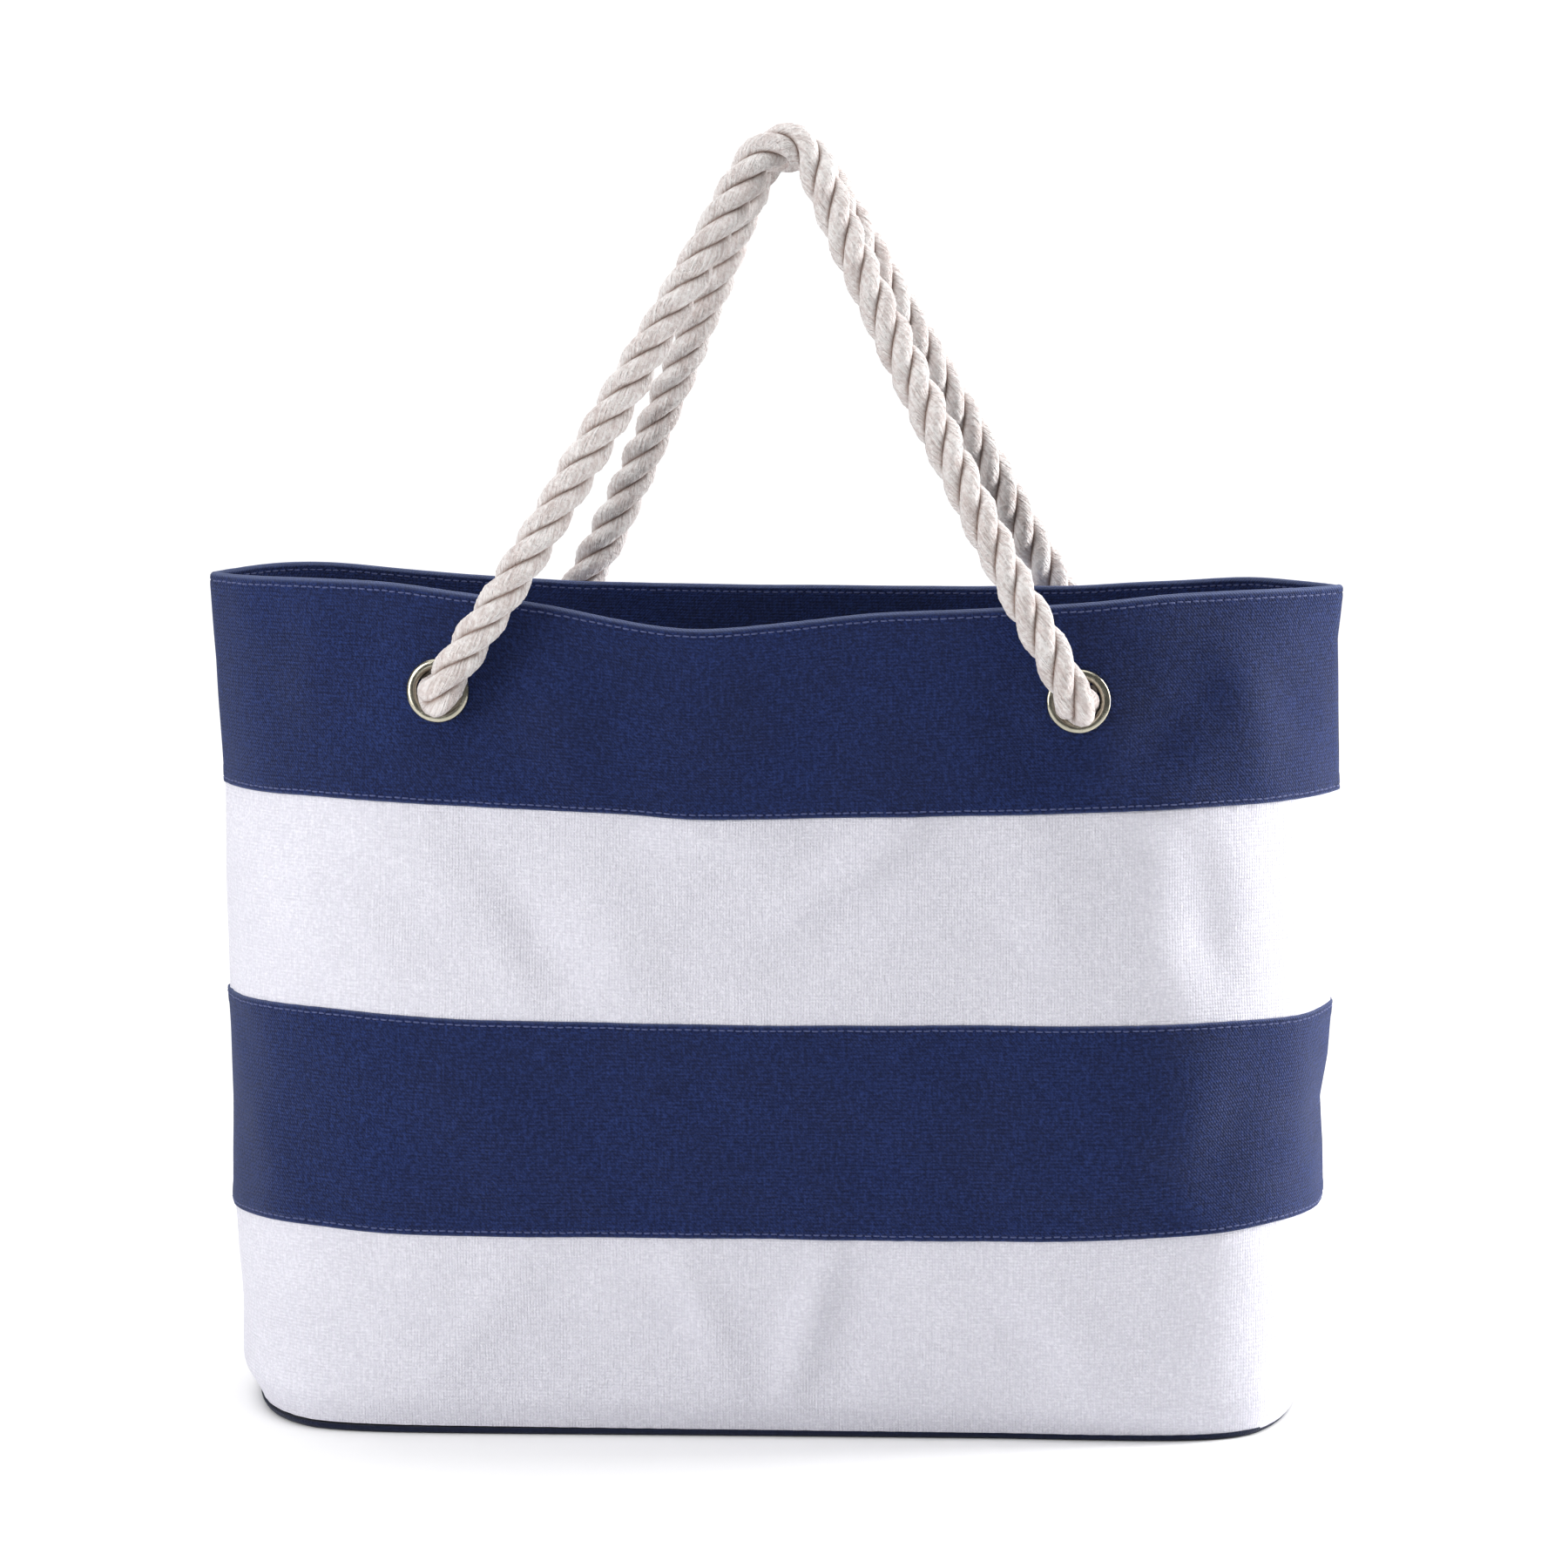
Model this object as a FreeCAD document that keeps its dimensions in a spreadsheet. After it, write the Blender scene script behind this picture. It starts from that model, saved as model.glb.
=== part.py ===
"""Striped canvas beach bag with two rope handles.

Frame: millimetres, +Z up, X along the long side of the bag, -Y the front.
The origin is on the floor under the middle of the base.
"""

import FreeCAD, Part
import Sketcher
import math
import os

from FreeCAD import Placement, Rotation, Vector

doc = FreeCAD.newDocument("beach_bag")

# ---------------------------------------------------------------- dimensions

DIMENSIONS = {
    # outer form of the canvas
    "height": 369,
    "base_half_width": 229,
    "hip_half_width": 237,
    "top_half_width": 250,
    "base_half_depth": 74,
    "hip_half_depth": 80,
    "belly_half_depth": 83,
    "top_half_depth": 66,
    "hip_height": 18,
    "belly_height": 125,
    "rim_sag": 12,
    # layers, from the outside in
    "canvas_thick": 1.6,
    "layer_gap": 0.7,
    "lining_thick": 0.9,
    "facing_thick": 1.3,
    "facing_depth": 76,
    # heights at which one stripe ends and the next begins
    "base_edge": 3.2,
    "seam_low": 91,
    "seam_middle": 185,
    "seam_high": 276,
    # stiffener in the bottom
    "board_thick": 2.5,
    "board_length": 424,
    "board_width": 124,
    "board_corner": 36,
    # eyelets
    "grommet_height": 324,
    "grommet_bore": 9.5,
    "grommet_tube": 10.1,
    "grommet_flange": 14,
    "grommet_hole": 10.3,
    # rope
    "rope_radius": 9,
    "stub_radius": 8.4,
    "knot_half_width": 22,
    "knot_half_depth": 17,
    "knot_half_height": 20,
    "tail_length": 44,
    "whipping_length": 10,
    "whipping_thick": 0.7,
    "front_pivot_depth": 78.5,
    "back_pivot_depth": 81.5,
}

sheet = doc.addObject("Spreadsheet::Sheet", "dimensions")
for row, (alias, value) in enumerate(DIMENSIONS.items(), start=1):
    sheet.set(f"A{row}", alias)
    sheet.set(f"B{row}", str(value))
    sheet.setAlias(f"B{row}", alias)
doc.recompute()


def size(alias):
    """A driving dimension, read from the sheet."""
    return float(sheet.get(alias))


def bind(obj, prop, expression):
    """Ties a property to the sheet; each word in [] is one of its aliases."""
    obj.setExpression(prop, expression.replace("[", "dimensions.").replace("]", ""))


# Where the rope goes through each panel, along X. In use the soft back panel is drawn
# in by its handle, so its left eyelet sits nearer to the middle.
EYELETS = {
    "front_left": (-142, "front"),
    "front_right": (135, "front"),
    "back_left": (-106, "back"),
    "back_right": (139, "back"),
}
SIDE_SIGN = {"front": -1, "back": 1}

# Centreline of each handle, from its left pivot over the top to its right pivot.
FRONT_ROUTE = [
    (-142, -78.5, 324),
    (-130, -79, 346),
    (-106, -75, 381),
    (-67, -58, 448),
    (-32, -35, 509),
    (-15, -20, 540),
    (-4, -10.5, 560),
    (15, -10.5, 562),
    (27, -18, 538),
    (44, -30, 504),
    (77, -53, 438),
    (107, -75, 379),
    (125, -79, 346),
    (135, -78.5, 324),
]
BACK_ROUTE = [
    (-106, 81.5, 324),
    (-97, 82, 345),
    (-78, 78, 380),
    (-50, 60, 444),
    (-25, 38, 506),
    (-13, 22, 536),
    (-4, 10.5, 555),
    (16, 10.5, 556),
    (28, 18, 535),
    (46, 31, 502),
    (81, 54, 438),
    (110, 76, 380),
    (130, 82, 345),
    (139, 81.5, 324),
]

# ---------------------------------------------------------- form of the bag

LENS_POWER = 4
BASE_POWER = 12
HALF_STEPS = 17
ROW_HEIGHT = 4
DRILL_LENGTH = 40
DRILL_INSET = 25


def eased(points, at):
    """Value at a place along a list of (place, value), level where it meets each of them."""
    for (x0, y0), (x1, y1) in zip(points, points[1:]):
        if at <= x1:
            share = max(0, (at - x0) / (x1 - x0))
            return y0 + (y1 - y0) * share * share * (3 - 2 * share)
    return points[-1][1]


def half_width(level):
    """Outer half width at a height: rolled in at the base, widest at the rim."""
    points = [
        (0, size("base_half_width")),
        (size("hip_height"), size("hip_half_width")),
        (size("height"), size("top_half_width")),
    ]
    return eased(points, level)


def half_depth(level):
    """Outer half depth at a height: fullest at the belly, drawn in at the rim."""
    points = [
        (0, size("base_half_depth")),
        (size("hip_height"), size("hip_half_depth")),
        (size("belly_height"), size("belly_half_depth")),
        (size("height"), size("top_half_depth")),
    ]
    return eased(points, level)


def wall_depth(across, level, offset=0.0):
    """Distance of the wall from the middle plane: a rounded box low down, a lens at the rim."""
    share = min(level / size("height"), 1)
    power = BASE_POWER + (LENS_POWER - BASE_POWER) * share
    root = 0.5 + 0.5 * share
    width = half_width(level) - offset
    depth = half_depth(level) - offset
    inside = max(0.0, 1 - (abs(across) / width) ** power)
    return depth * inside**root


def wall_normal(across, level, sign):
    """Outward direction of the wall on the front (sign -1) or the back (sign 1)."""
    step = 1.0
    slope_x = (wall_depth(across + step, level) - wall_depth(across - step, level)) / (2 * step)
    slope_z = (wall_depth(across, level + step) - wall_depth(across, level - step)) / (2 * step)
    normal = Vector(-slope_x, sign, -slope_z)
    return normal.normalize()


def rim_level(turn):
    """Height of the rim, which sags between the side seams (turn runs from -1 to 1)."""
    return size("height") - size("rim_sag") * math.cos(math.pi / 2 * turn) ** 2


def skin(side, offset, low, high):
    """Curved face of the front or back, drawn in by an offset, from low to high."""
    sign = SIDE_SIGN[side]
    rows = []
    steps = 2 + round((size("height") if high == "rim" else high) - low) // ROW_HEIGHT
    for step in range(steps + 1):
        row = []
        for i in range(-HALF_STEPS, HALF_STEPS + 1):
            turn = i / HALF_STEPS
            top = rim_level(turn) if high == "rim" else high
            level = low + (top - low) * step / steps
            across = (half_width(level) - offset) * math.sin(math.pi / 2 * turn)
            depth = 0 if abs(i) == HALF_STEPS else wall_depth(across, level, offset)
            row.append(Vector(across, sign * depth, level))
        rows.append(row)
    surface = Part.BSplineSurface()
    surface.interpolate(rows)
    return surface


def borders(surface):
    """The lower, upper, left and right edges of a skin."""
    u0, u1, v0, v1 = surface.bounds()
    low, high = surface.uIso(u0).toShape(), surface.uIso(u1).toShape()
    left, right = surface.vIso(v0).toShape(), surface.vIso(v1).toShape()
    return low, high, left, right


def solid_between(faces):
    """A solid from faces that meet edge to edge."""
    shell = Part.Shell(faces)
    shell.sewShape()
    solid = Part.Solid(shell)
    if solid.Volume < 0:
        solid.reverse()
    return solid


def wall(name, side, outer, inner, low, high):
    """A layer of the front or back wall between two offsets and two heights."""
    skins = [skin(side, offset, low, high) for offset in (outer, inner)]
    faces = [surface.toShape() for surface in skins]
    for out_edge, in_edge in zip(borders(skins[0]), borders(skins[1])):
        faces.append(Part.makeRuledSurface(out_edge, in_edge))
    feature = doc.addObject("Part::Feature", name)
    feature.Shape = solid_between(faces)
    return feature


def floor_block(name, offset, low, high):
    """A flat slab with the outline of the bag, drawn in by an offset."""
    skins = [skin(side, offset, low, high) for side in SIDE_SIGN]
    faces = [surface.toShape() for surface in skins]
    for edges in list(zip(borders(skins[0]), borders(skins[1])))[:2]:
        faces.append(Part.Face(Part.Wire(list(edges))))
    feature = doc.addObject("Part::Feature", name)
    feature.Shape = solid_between(faces)
    return feature


def cut(name, base, tool):
    """base with tool taken away."""
    result = doc.addObject("Part::Cut", name)
    result.Base = base
    result.Tool = tool
    return result


def fused(name, members):
    """Several objects as one."""
    result = doc.addObject("Part::MultiFuse", name)
    result.Shapes = members
    return result


def eyelet_placement(name, inset=0.0):
    """Local +Z along the wall's outward normal, with the origin on the wall's outer face."""
    across, side = EYELETS[name]
    sign = SIDE_SIGN[side]
    level = size("grommet_height")
    normal = wall_normal(across, level, sign)
    point = Vector(across, sign * wall_depth(across, level), level)
    return Placement(point - normal * inset, Rotation(Vector(0, 0, 1), normal))


def eyelet_drill(name):
    """A drill through every layer at an eyelet."""
    drill = doc.addObject("Part::Cylinder", f"drill_{name}")
    bind(drill, "Radius", "[grommet_hole]")
    drill.Height = DRILL_LENGTH
    drill.Placement = eyelet_placement(name, inset=DRILL_INSET)
    return drill


drills = {name: eyelet_drill(name) for name in EYELETS}

# ------------------------------------------------------------------ sub-parts

SUB_PARTS = []


def keep(obj, label):
    """Marks an object as a sub-part; its label is its file's name."""
    obj.Label = label
    SUB_PARTS.append(obj)
    return obj


CANVAS_IN = size("canvas_thick")
INNER_SKIN = CANVAS_IN + size("layer_gap")
FACING_LOW = size("height") - size("facing_depth")
LINING_FLOOR = size("canvas_thick") + size("board_thick") + 3 * size("layer_gap")
LINING_LOW = LINING_FLOOR + size("lining_thick")

STRIPES = (
    ("lower_white_band", size("base_edge"), size("seam_low")),
    ("lower_navy_band", size("seam_low"), size("seam_middle")),
    ("upper_white_band", size("seam_middle"), size("seam_high")),
)

for side in SIDE_SIGN:
    for stripe, low, high in STRIPES:
        keep(wall(f"{stripe}_{side}_wall", side, 0, CANVAS_IN, low, high), f"{stripe}_{side}")

    holes = fused(f"{side}_holes", [drills[n] for n in EYELETS if EYELETS[n][1] == side])
    blank = wall(f"upper_navy_band_{side}_wall", side, 0, CANVAS_IN, size("seam_high"), "rim")
    keep(cut(f"upper_navy_band_{side}_drilled", blank, holes), f"upper_navy_band_{side}")

    facing_in = INNER_SKIN + size("facing_thick")
    blank = wall(f"facing_{side}_wall", side, INNER_SKIN, facing_in, FACING_LOW, "rim")
    keep(cut(f"facing_{side}_drilled", blank, holes), f"facing_{side}")

    lining_in = INNER_SKIN + size("lining_thick")
    lining = wall(f"lining_{side}_wall", side, INNER_SKIN, lining_in, LINING_LOW, FACING_LOW)
    keep(lining, f"lining_{side}")

keep(floor_block("lining_floor_slab", INNER_SKIN, LINING_FLOOR, LINING_LOW), "lining_floor")

base_block = floor_block("base_block", 0, 0, size("base_edge"))
tray = floor_block("tray_hollow", CANVAS_IN, CANVAS_IN, size("base_edge") + 2)
keep(cut("base_tray", base_block, tray), "base_panel")


def origin_plane(body, role):
    """One of a body's own origin planes."""
    return next(f for f in body.Origin.OriginFeatures if f.Role == role)


def base_board():
    """Flat stiffener with rounded corners, between the base and the lining floor."""
    body = doc.addObject("PartDesign::Body", "board_body")
    sketch = body.newObject("Sketcher::SketchObject", "board_outline")
    sketch.AttachmentSupport = [(origin_plane(body, "XY_Plane"), "")]
    sketch.MapMode = "FlatFace"
    x, y = size("board_length") / 2, size("board_width") / 2
    corners = [Vector(-x, -y, 0), Vector(x, -y, 0), Vector(x, y, 0), Vector(-x, y, 0)]
    for start, end in zip(corners, corners[1:] + corners[:1]):
        sketch.addGeometry(Part.LineSegment(start, end), False)
    for i in range(4):
        sketch.addConstraint(Sketcher.Constraint("Coincident", i, 2, (i + 1) % 4, 1))
        sketch.addConstraint(Sketcher.Constraint("Horizontal" if i % 2 == 0 else "Vertical", i))
    sketch.addConstraint(Sketcher.Constraint("Symmetric", 0, 1, 1, 2, -1, 1))
    sketch.addConstraint(Sketcher.Constraint("DistanceX", 0, 1, 0, 2, 2 * x))
    sketch.renameConstraint(sketch.ConstraintCount - 1, "length")
    sketch.addConstraint(Sketcher.Constraint("DistanceY", 1, 1, 1, 2, 2 * y))
    sketch.renameConstraint(sketch.ConstraintCount - 1, "width")
    bind(sketch, "Constraints.length", "[board_length]")
    bind(sketch, "Constraints.width", "[board_width]")
    pad = body.newObject("PartDesign::Pad", "board_pad")
    pad.Profile = sketch
    bind(pad, "Length", "[board_thick]")
    doc.recompute()
    upright = []
    for i, edge in enumerate(pad.Shape.Edges, start=1):
        if abs(edge.tangentAt(edge.FirstParameter).z) > 0.9:
            upright.append(f"Edge{i}")
    rounding = body.newObject("PartDesign::Fillet", "board_corners")
    rounding.Base = (pad, upright)
    bind(rounding, "Radius", "[board_corner]")
    bind(body, "Placement.Base.z", "[canvas_thick] + [layer_gap]")
    return body


keep(base_board(), "base_board")


def ring_body(name, inner, outer, low, crown):
    """A ring about local Z with a flat underside at low and a domed top.

    inner and outer are aliases of its radii; crown is the alias of a thin tube
    that carries on below it, or None.
    """
    body = doc.addObject("PartDesign::Body", name)
    sketch = body.newObject("Sketcher::SketchObject", f"{name}_profile")
    sketch.AttachmentSupport = [(origin_plane(body, "XZ_Plane"), "")]
    sketch.MapMode = "FlatFace"
    r_in, r_out = size(inner), size(outer)
    if crown:
        r_tube, bottom = size(crown), -layer_stack()
        outline = [(r_out, low), (r_tube, low), (r_tube, bottom), (r_in, bottom), (r_in, low)]
    else:
        outline = [(r_out, low), (r_in, low)]
    for start, end in zip(outline, outline[1:]):
        sketch.addGeometry(Part.LineSegment(Vector(*start, 0), Vector(*end, 0)), False)
    middle = Vector((r_in + r_out) / 2, low, 0)
    circle = Part.Circle(middle, Vector(0, 0, 1), (r_out - r_in) / 2)
    sketch.addGeometry(Part.ArcOfCircle(circle, 0, math.pi), False)
    last = len(outline) - 2
    for i in range(last):
        sketch.addConstraint(Sketcher.Constraint("Coincident", i, 2, i + 1, 1))
    sketch.addConstraint(Sketcher.Constraint("Coincident", 0, 1, last + 1, 1))
    sketch.addConstraint(Sketcher.Constraint("Coincident", last, 2, last + 1, 2))
    for i in range(last + 1):
        flat = outline[i][1] == outline[i + 1][1]
        sketch.addConstraint(Sketcher.Constraint("Horizontal" if flat else "Vertical", i))
    radii = [(0, 1, r_out, outer), (last, 2, r_in, inner)]
    if crown:
        radii.append((1, 1, r_tube, crown))
    for line, end, radius, alias in radii:
        sketch.addConstraint(Sketcher.Constraint("DistanceX", -1, 1, line, end, radius))
        sketch.renameConstraint(sketch.ConstraintCount - 1, f"radius_{alias}")
        bind(sketch, f"Constraints.radius_{alias}", f"[{alias}]")
    sketch.addConstraint(Sketcher.Constraint("DistanceY", -1, 1, 0, 1, low))
    sketch.addConstraint(Sketcher.Constraint("DistanceY", last + 1, 3, 0, 1, 0))
    if crown:
        sketch.addConstraint(Sketcher.Constraint("DistanceY", -1, 1, 2, 1, bottom))
    turned = body.newObject("PartDesign::Revolution", f"{name}_turned")
    turned.Profile = sketch
    turned.ReferenceAxis = (sketch, ["V_Axis"])
    turned.Angle = 360
    return body


FLANGE_CLEARANCE = 0.15
WASHER_CLEARANCE = 0.6
TUBE_END = 0.4
WASHER_SEAT = 0.05


def layer_stack():
    """Depth of the cloth layers that a grommet's tube goes through, and a little more."""
    cloth = size("canvas_thick") + size("layer_gap") + size("facing_thick")
    return cloth + WASHER_CLEARANCE + TUBE_END


def grommet(name):
    """Eyelet half with the domed flange and the tube."""
    body = ring_body(f"grommet_{name}_body", "grommet_bore", "grommet_flange", FLANGE_CLEARANCE, "grommet_tube")
    body.Placement = eyelet_placement(name)
    return body


def washer(name):
    """Eyelet half inside the bag that the tube is set into."""
    body = ring_body(f"washer_{name}_body", "grommet_hole", "grommet_flange", WASHER_SEAT, None)
    inset = layer_stack() - TUBE_END
    place = eyelet_placement(name, inset=inset)
    body.Placement = place * Placement(Vector(0, 0, 0), Rotation(Vector(1, 0, 0), 180))
    return body


WASHER_TO_KNOT = 2.2
PIVOT_CLEARANCE = 0.4
WHIPPING_CLEARANCE = 0.05
WHIPPING_FROM_END = 3


def knot_middle(name):
    """Middle of the stopper knot, just inside its washer."""
    across, side = EYELETS[name]
    level = size("grommet_height")
    reach = layer_stack() + WASHER_TO_KNOT + size("knot_half_depth")
    depth = wall_depth(across, level) - reach
    return Vector(across, SIDE_SIGN[side] * depth, level)


def rope_end(name):
    """Stopper knot, the stub of rope that it sends out through the eyelet, and its tail."""
    across, side = EYELETS[name]
    sign = SIDE_SIGN[side]
    middle = knot_middle(name)
    knot = doc.addObject("Part::Ellipsoid", f"{name}_knot")
    bind(knot, "Radius1", "[knot_half_height]")
    bind(knot, "Radius2", "[knot_half_width]")
    bind(knot, "Radius3", "[knot_half_depth]")
    knot.Placement.Base = middle
    stub = doc.addObject("Part::Cylinder", f"{name}_stub")
    bind(stub, "Radius", "[stub_radius]")
    bind(stub, "Height", f"[{side}_pivot_depth] - [rope_radius] - {PIVOT_CLEARANCE + abs(middle.y)}")
    stub.Placement = Placement(middle, Rotation(Vector(0, 0, 1), Vector(0, sign, 0)))
    tail = doc.addObject("Part::Cylinder", f"{name}_tail")
    bind(tail, "Radius", "[stub_radius]")
    bind(tail, "Height", "[tail_length]")
    tail.Placement = Placement(middle, Rotation(Vector(0, 0, 1), Vector(0, 0, -1)))
    return fused(f"{name}_rope_end", [knot, stub, tail])


for name in EYELETS:
    keep(grommet(name), f"grommet_{name}")
    keep(washer(name), f"grommet_washer_{name}")
    keep(rope_end(name), f"rope_knot_{name}")


def whippings():
    """Bindings that stop the four cut ends of rope from fraying, near each tail's end."""
    rings = []
    radius = size("stub_radius") + WHIPPING_CLEARANCE
    for name in EYELETS:
        start = knot_middle(name) - Vector(0, 0, size("tail_length") - WHIPPING_FROM_END)
        sleeve = Part.makeCylinder(radius + size("whipping_thick"), size("whipping_length"), start)
        rings.append(sleeve.cut(Part.makeCylinder(radius, size("whipping_length"), start)))
    feature = doc.addObject("Part::Feature", "whipping_rings")
    feature.Shape = Part.makeCompound(rings)
    return feature


keep(whippings(), "rope_whippings")

ARC_SHARE = 0.45


def rope_path(points):
    """Straight runs joined by tangent arcs, with the radius of each arc."""
    corners = [Vector(*p) for p in points]
    edges, radii = [], []
    last = corners[0]
    for before, corner, after in zip(corners, corners[1:], corners[2:]):
        come = (corner - before).normalize()
        leave = (after - corner).normalize()
        turn = come.getAngle(leave)
        back = ARC_SHARE * min((corner - before).Length, (after - corner).Length)
        radius = back / math.tan(turn / 2)
        start = corner - come * back
        end = corner + leave * back
        bisector = (leave - come).normalize()
        middle = corner + bisector * (radius / math.cos(turn / 2) - radius)
        edges.append(Part.LineSegment(last, start).toShape())
        edges.append(Part.Arc(start, middle, end).toShape())
        radii.append(radius)
        last = end
    edges.append(Part.LineSegment(last, corners[-1]).toShape())
    return Part.Wire(edges), radii


def handle(name, points):
    """Rope swept along its route, with a round end on each pivot."""
    path, radii = rope_path(points)
    radius = size("rope_radius")
    start, end = Vector(*points[0]), Vector(*points[-1])
    first = (Vector(*points[1]) - start).normalize()
    final = (end - Vector(*points[-2])).normalize()
    ring = Part.Wire([Part.makeCircle(radius, start, first)])
    tube = path.makePipeShell([ring], True, False)
    expected = math.pi * radius**2 * path.Length
    print(f"{name}: length {path.Length:.1f} mm, radii {[round(r) for r in radii]}")
    print(f"{name}: volume {tube.Volume:.0f} mm3, section by length {expected:.0f} mm3")
    if abs(tube.Volume / expected - 1) > 0.01:
        raise ValueError(f"{name} has the wrong volume")
    low_end = Part.makeSphere(radius, start, first * -1, 0, 90, 360)
    high_end = Part.makeSphere(radius, end, final, 0, 90, 360)
    feature = doc.addObject("Part::Feature", f"{name}_tube")
    feature.Shape = tube.fuse([low_end, high_end])
    return feature


keep(handle("front_handle", FRONT_ROUTE), "front_handle_rope")
keep(handle("back_handle", BACK_ROUTE), "back_handle_rope")

# --------------------------------------------------------------- check, write

doc.recompute()
for obj in doc.Objects:
    if {"Invalid", "Error"} & set(obj.State):
        raise RuntimeError(f"{obj.Label} failed: {obj.State}")
for part in SUB_PARTS:
    if part.Shape.isNull() or not part.Shape.isValid():
        raise RuntimeError(f"{part.Label} has no valid shape")

os.makedirs("parts", exist_ok=True)
for part in SUB_PARTS:
    part.Shape.exportStep(f"parts/{part.Label}.step")
    box = part.Shape.BoundBox
    print(f"{part.Label}: {len(part.Shape.Solids)} solid(s), {part.Shape.Volume:.0f} mm3,",
          f"x {box.XMin:.1f} {box.XMax:.1f}, y {box.YMin:.1f} {box.YMax:.1f}, z {box.ZMin:.1f} {box.ZMax:.1f}")
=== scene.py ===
import math

import bpy
import numpy as np
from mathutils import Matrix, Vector


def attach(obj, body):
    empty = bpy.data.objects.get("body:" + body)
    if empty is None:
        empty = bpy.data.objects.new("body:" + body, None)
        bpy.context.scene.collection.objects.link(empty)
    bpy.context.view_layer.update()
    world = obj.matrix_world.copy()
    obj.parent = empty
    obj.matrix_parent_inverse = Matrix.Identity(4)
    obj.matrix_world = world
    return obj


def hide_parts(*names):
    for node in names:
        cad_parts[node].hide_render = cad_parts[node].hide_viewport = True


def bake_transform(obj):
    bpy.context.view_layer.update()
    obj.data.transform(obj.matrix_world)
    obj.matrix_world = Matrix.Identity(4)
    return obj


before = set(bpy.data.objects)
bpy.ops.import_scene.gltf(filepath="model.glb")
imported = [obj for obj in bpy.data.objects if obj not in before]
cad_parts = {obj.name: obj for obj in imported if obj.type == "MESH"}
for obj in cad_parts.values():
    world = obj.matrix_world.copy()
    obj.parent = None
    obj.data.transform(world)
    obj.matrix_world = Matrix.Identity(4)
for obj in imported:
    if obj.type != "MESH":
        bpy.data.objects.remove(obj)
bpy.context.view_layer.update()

# Millimetres are used while shapes are worked out; every mesh is written in metres.
MM = 0.001
rng = np.random.default_rng(7)

# ------------------------------------------------------------ form of the bag

HEIGHT = 369
BASE_EDGE = 3.2
SEAM_LOW = 91
SEAM_MIDDLE = 185
SEAM_HIGH = 276
FACING_LOW = 293
CANVAS = 1.6
INNER_SKIN = 2.3
LINING_THICK = 0.9
FACING_THICK = 1.3
FLOOR_LOW = 6.2
FLOOR_TOP = FLOOR_LOW + LINING_THICK
GROMMET_HEIGHT = 324
GROMMET_BORE = 9.5
GROMMET_TUBE = 10.1
GROMMET_FLANGE = 14
STACK = 4.6
SIGN = {"front": -1, "back": 1}
# The cloth is drawn up a little at the front eyelets.
EYELET_LIFT = {"front_left": 4.0, "front_right": 1.8, "back_left": 0, "back_right": 0}
EYELETS = {
    "front_left": (-142, "front"),
    "front_right": (135, "front"),
    "back_left": (-106, "back"),
    "back_right": (139, "back"),
}

HALF_RIM = 250
# Half width and half depth of the body at heights: (height, half size).
HALF_WIDTH = [(0, 229), (18, 237), (HEIGHT, HALF_RIM)]
HALF_DEPTH = [(0, 74), (18, 80), (125, 83), (HEIGHT, 66)]

# Heights of the rim and of the three seams along the front and the back: (across, height).
RIM = {
    "front": [
        (-250, 370), (-205, 373), (-165, 374), (-128, 370), (-98, 366.5), (-68, 360.5), (-45, 356.5),
        (-25, 355.8), (8, 359), (45, 363.5), (100, 366), (142, 368), (170, 370.5), (210, 370.5), (250, 368),
    ],
    "back": [
        (-250, 370), (-225, 371.5), (-200, 370), (-178, 366), (-136, 361), (-93, 357.8), (0, 357), (80, 357),
        (128, 357.8), (180, 363), (210, 367), (250, 368),
    ],
}
SEAMS = {
    "front": [
        [
            (-250, 85), (-238, 88), (-225, 91), (-202, 92), (-163, 90), (-105, 89.7), (0, 90), (50, 89.5),
            (141, 91), (199, 93.2), (222, 95), (236, 94), (250, 89),
        ],
        [
            (-250, 183), (-225, 187), (-200, 188.5), (-170, 187.5), (-132, 186), (0, 185.2), (141, 186),
            (184, 186.4), (206, 186), (234, 183), (250, 183),
        ],
        [
            (-250, 276), (-200, 279.5), (-166, 279.5), (-126, 278), (-68, 276), (-35, 273.6), (0, 274),
            (41, 275), (102, 276.5), (140, 278), (196, 279), (250, 277),
        ],
    ],
    "back": [
        [
            (-250, 85), (-238, 88), (-225, 91), (-190, 93), (-100, 91), (60, 90.5), (200, 93), (222, 94),
            (236, 93.5), (250, 89),
        ],
        [
            (-250, 183), (-225, 186.5), (-200, 187), (-90, 186), (40, 184.5), (180, 186.5), (234, 183),
            (250, 183),
        ],
        [(-250, 276), (-190, 279), (-100, 276), (20, 274), (110, 275.5), (190, 278.5), (250, 277)],
    ],
}
# How far the left and right ends stand out from the plain form: (height, distance).
LEFT_END = [(0, 1), (40, 1.5), (95, 4), (137, 1), (183, 0.5), (276, -3), (330, -2), (371, 0)]
RIGHT_END = [
    (0, 5), (22, 3), (60, 5), (95, 7), (118, 5.5), (139, 3), (160, 5), (183, 5.5), (276, 2.7), (300, 1),
    (345, -1.5), (371, 0.5),
]

# Height of the edge where the lowest band meets the bottom: (across, height).
BASE_LINE = [(-215, 4.2), (0, 3.2), (230, 2.2)]
# How far the front of the foot stands forward: (across, distance), and the height it fades over.
FOOT = [(-236, 0), (-222, 5), (-200, 8), (-120, 7), (0, 4.5), (100, 3), (190, 5), (215, 6), (236, 0)]
FOOT_HEIGHT = 30

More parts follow.
